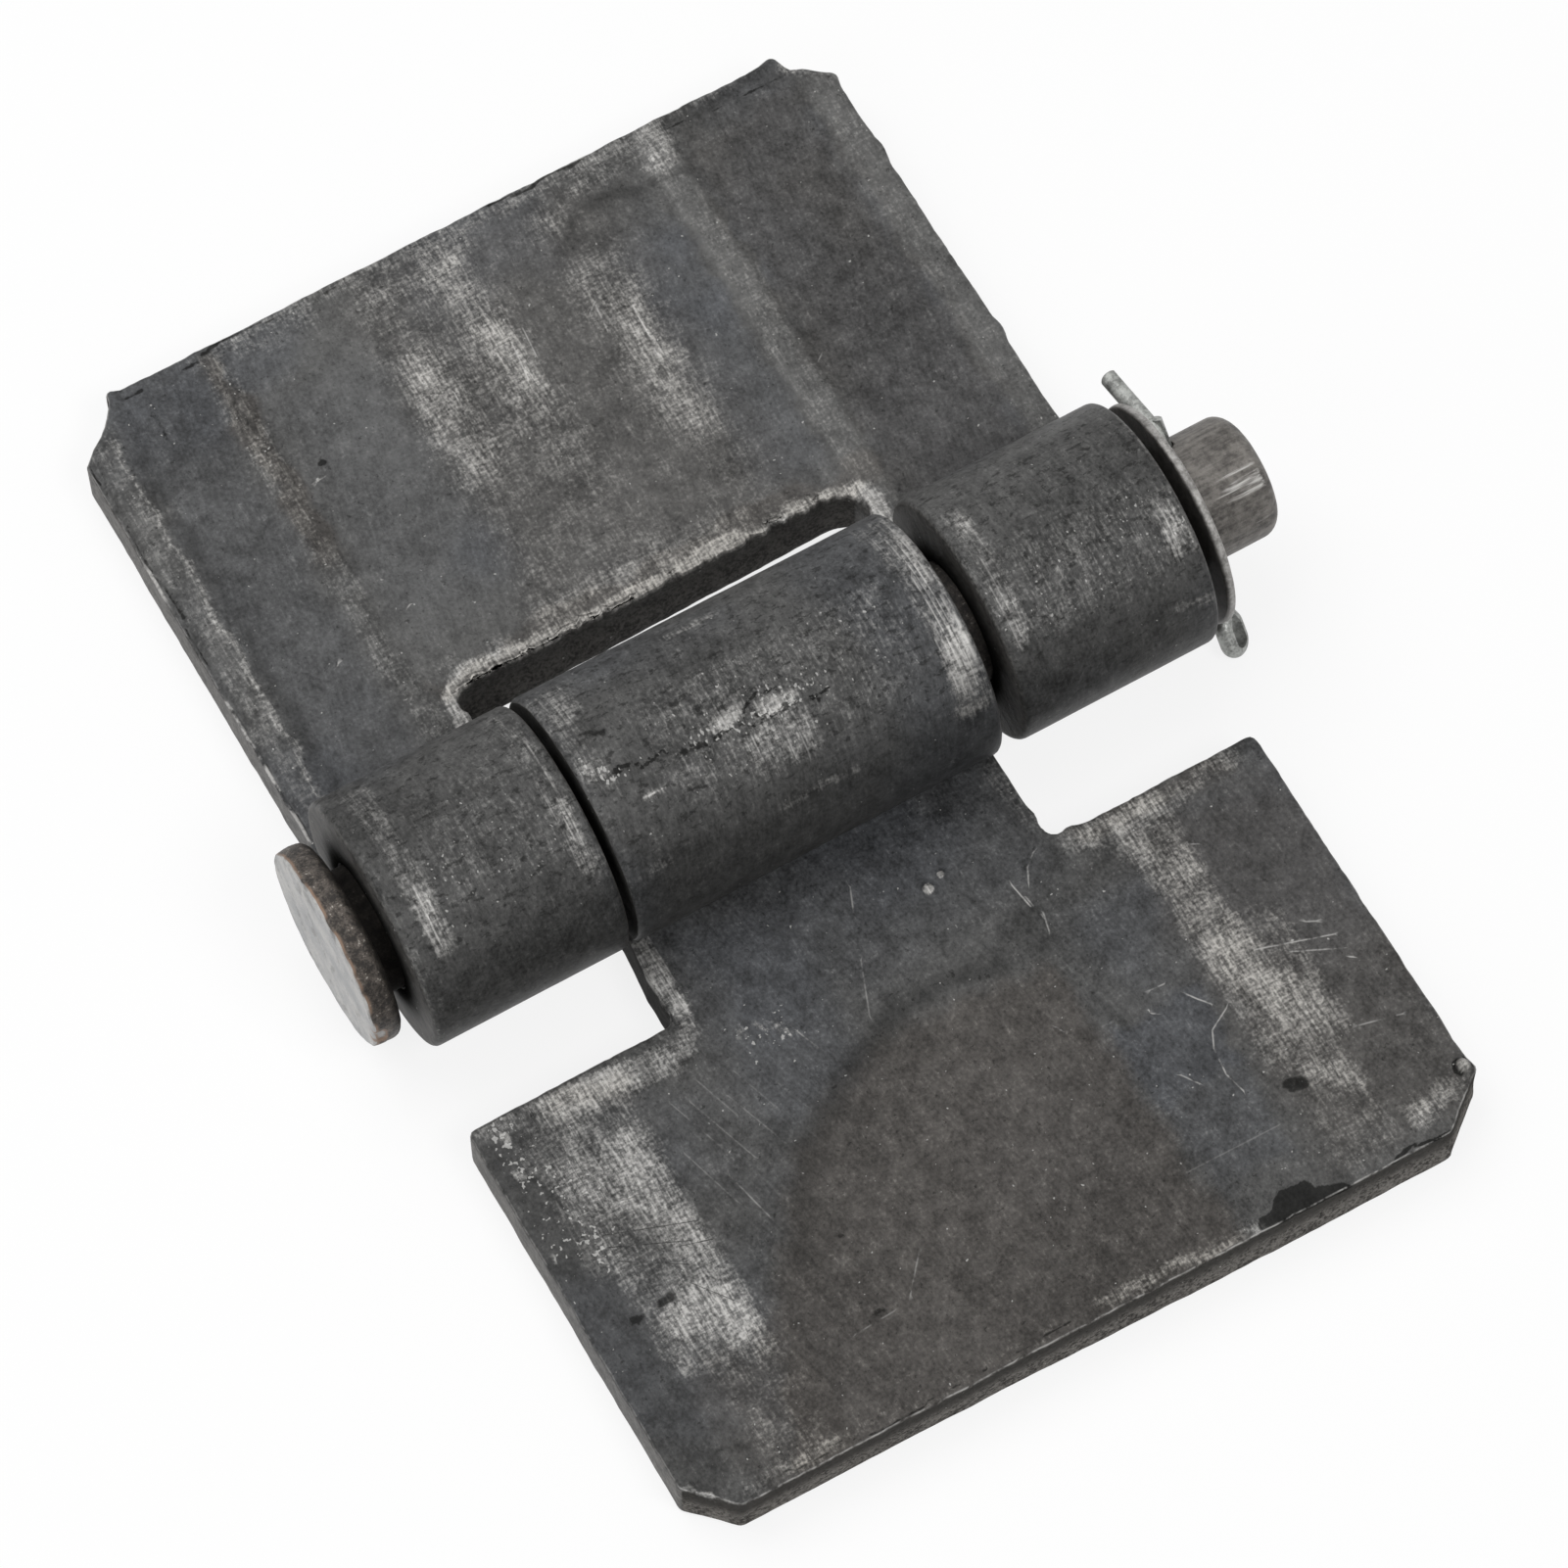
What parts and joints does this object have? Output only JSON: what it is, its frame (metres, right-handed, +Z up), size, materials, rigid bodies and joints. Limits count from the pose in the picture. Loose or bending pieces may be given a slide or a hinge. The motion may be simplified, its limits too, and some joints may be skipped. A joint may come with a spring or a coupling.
{
  "type": "weld-on butt hinge",
  "caption": "Open weld-on butt hinge: plain rolled steel plate leaves turning on a headed pin, which a thin washer and a bent split pin hold in place.",
  "frame": {"origin": "in the plane of the leaf backs, under the middle of the pin, on the hinge line", "axes": "+X along the pin from its head to its split pin, +Y from the swing leaf to the fixed leaf, +Z up from the leaf backs"},
  "size_m": [0.0952, 0.1228, 0.0242],
  "materials": {
    "leaf_steel": "hot-rolled mill scale, rubbed",
    "pin_steel": "bare forged steel with light rust",
    "washer_steel": "bare stamped steel",
    "zinc_steel": "dull zinc plate"
  },
  "bodies": {
    "fixed_leaf": {"fixed_leaf": "leaf_steel"},
    "swing_leaf": {"swing_leaf": "leaf_steel"},
    "pin_set": {"hinge_pin": "pin_steel", "washer": "washer_steel", "cotter_pin": "zinc_steel"}
  },
  "joints": [
    {"name": "leaf_swing", "type": "hinge", "parent": "fixed_leaf", "child": "swing_leaf", "pos_m": [0, 0, 0.01208], "axis": [-1, 0, 0], "range_deg": [-112, 189]},
    {"name": "pin_spin", "type": "hinge", "parent": "fixed_leaf", "child": "pin_set", "pos_m": [0, 0, 0.01208], "axis": [1, 0, 0], "continuous": true}
  ]
}
